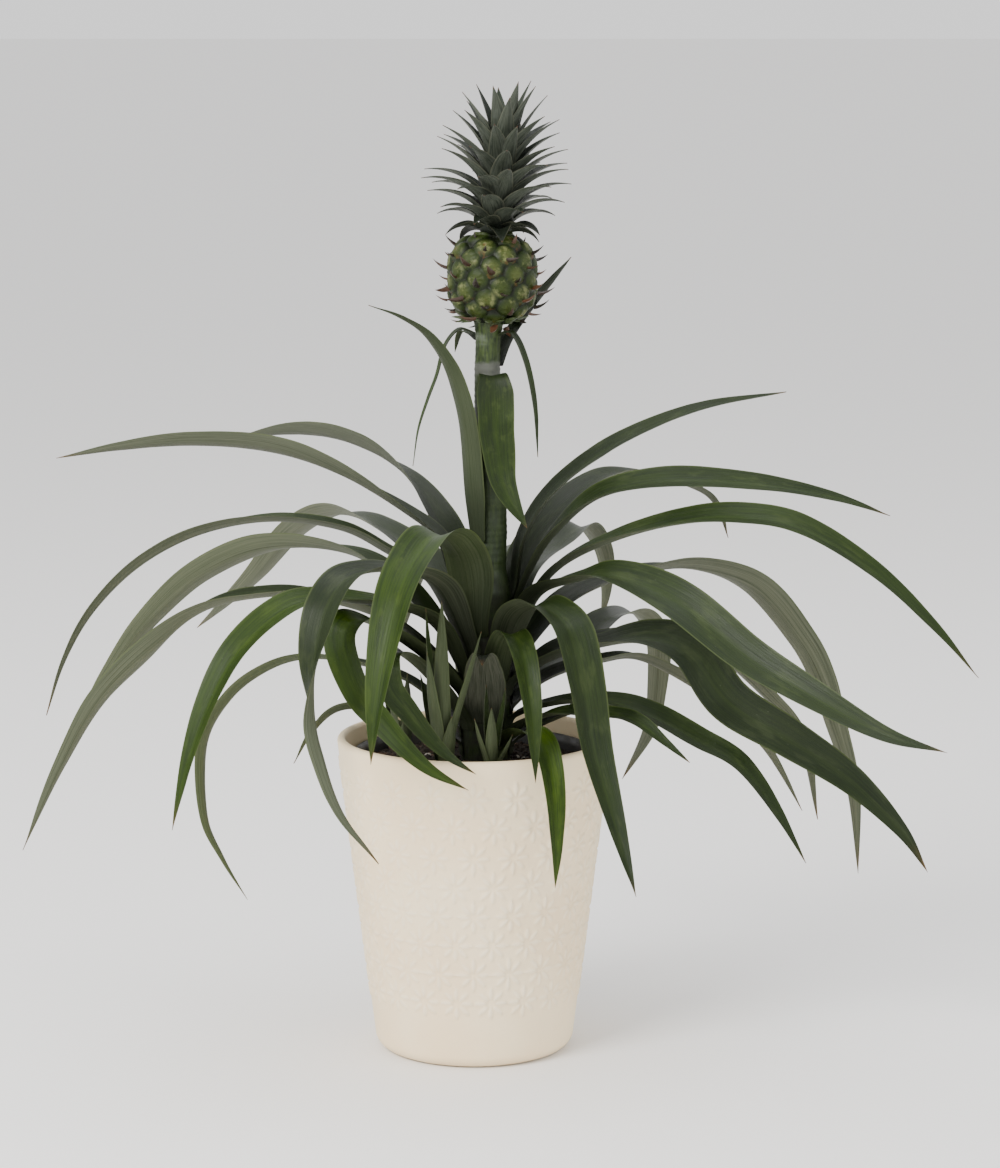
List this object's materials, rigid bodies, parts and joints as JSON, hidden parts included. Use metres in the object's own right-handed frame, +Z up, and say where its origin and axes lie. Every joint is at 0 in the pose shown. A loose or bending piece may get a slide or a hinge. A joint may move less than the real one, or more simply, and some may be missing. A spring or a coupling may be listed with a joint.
{
  "type": "potted pineapple plant",
  "caption": "Ornamental pineapple plant with a rosette of arching strap leaves and one small crowned fruit on an upright stalk, in a tapered cream ceramic cover pot.",
  "frame": {"origin": "centre of the flat underside of the cover pot, where it stands", "axes": "+Z up along the pot's axis, +X to the right and -Y towards the viewer when the plant is seen from the front"},
  "size_m": [0.4709, 0.3898, 0.4875],
  "materials": {
    "ceramic": "matte",
    "plastic": "satin",
    "soil": "matte",
    "leaf": "satin",
    "stalk": "satin",
    "fruit": "matte",
    "crown": "satin"
  },
  "bodies": {
    "root": {"cover_pot": "ceramic", "nursery_pot": "plastic", "potting_soil": "soil", "plant_stem": "stalk", "leaf_01": "leaf", "leaf_02": "leaf", "leaf_03": "leaf", "leaf_04": "leaf", "leaf_05": "leaf", "leaf_06": "leaf", "leaf_07": "leaf", "leaf_08": "leaf", "leaf_09": "leaf", "leaf_10": "leaf", "leaf_11": "leaf", "leaf_12": "leaf", "leaf_13": "leaf", "leaf_14": "leaf", "leaf_15": "leaf", "leaf_16": "leaf", "leaf_17": "leaf", "leaf_18": "leaf", "leaf_19": "leaf", "leaf_20": "leaf", "leaf_21": "leaf", "leaf_22": "leaf", "leaf_23": "leaf", "leaf_24": "leaf", "leaf_25": "leaf", "leaf_26": "leaf", "leaf_27": "leaf", "leaf_28": "leaf", "leaf_29": "leaf", "leaf_30": "leaf", "leaf_31": "leaf", "leaf_32": "leaf", "leaf_33": "leaf", "leaf_34": "leaf", "stalk_leaf_01": "leaf", "stalk_leaf_02": "leaf", "stalk_leaf_03": "leaf", "stalk_leaf_04": "leaf", "stalk_leaf_05": "leaf", "stalk_leaf_06": "leaf", "shoot_01": "leaf", "shoot_02": "leaf", "shoot_03": "leaf", "pineapple_fruit": "fruit", "crown": "crown"}
  },
  "joints": []
}
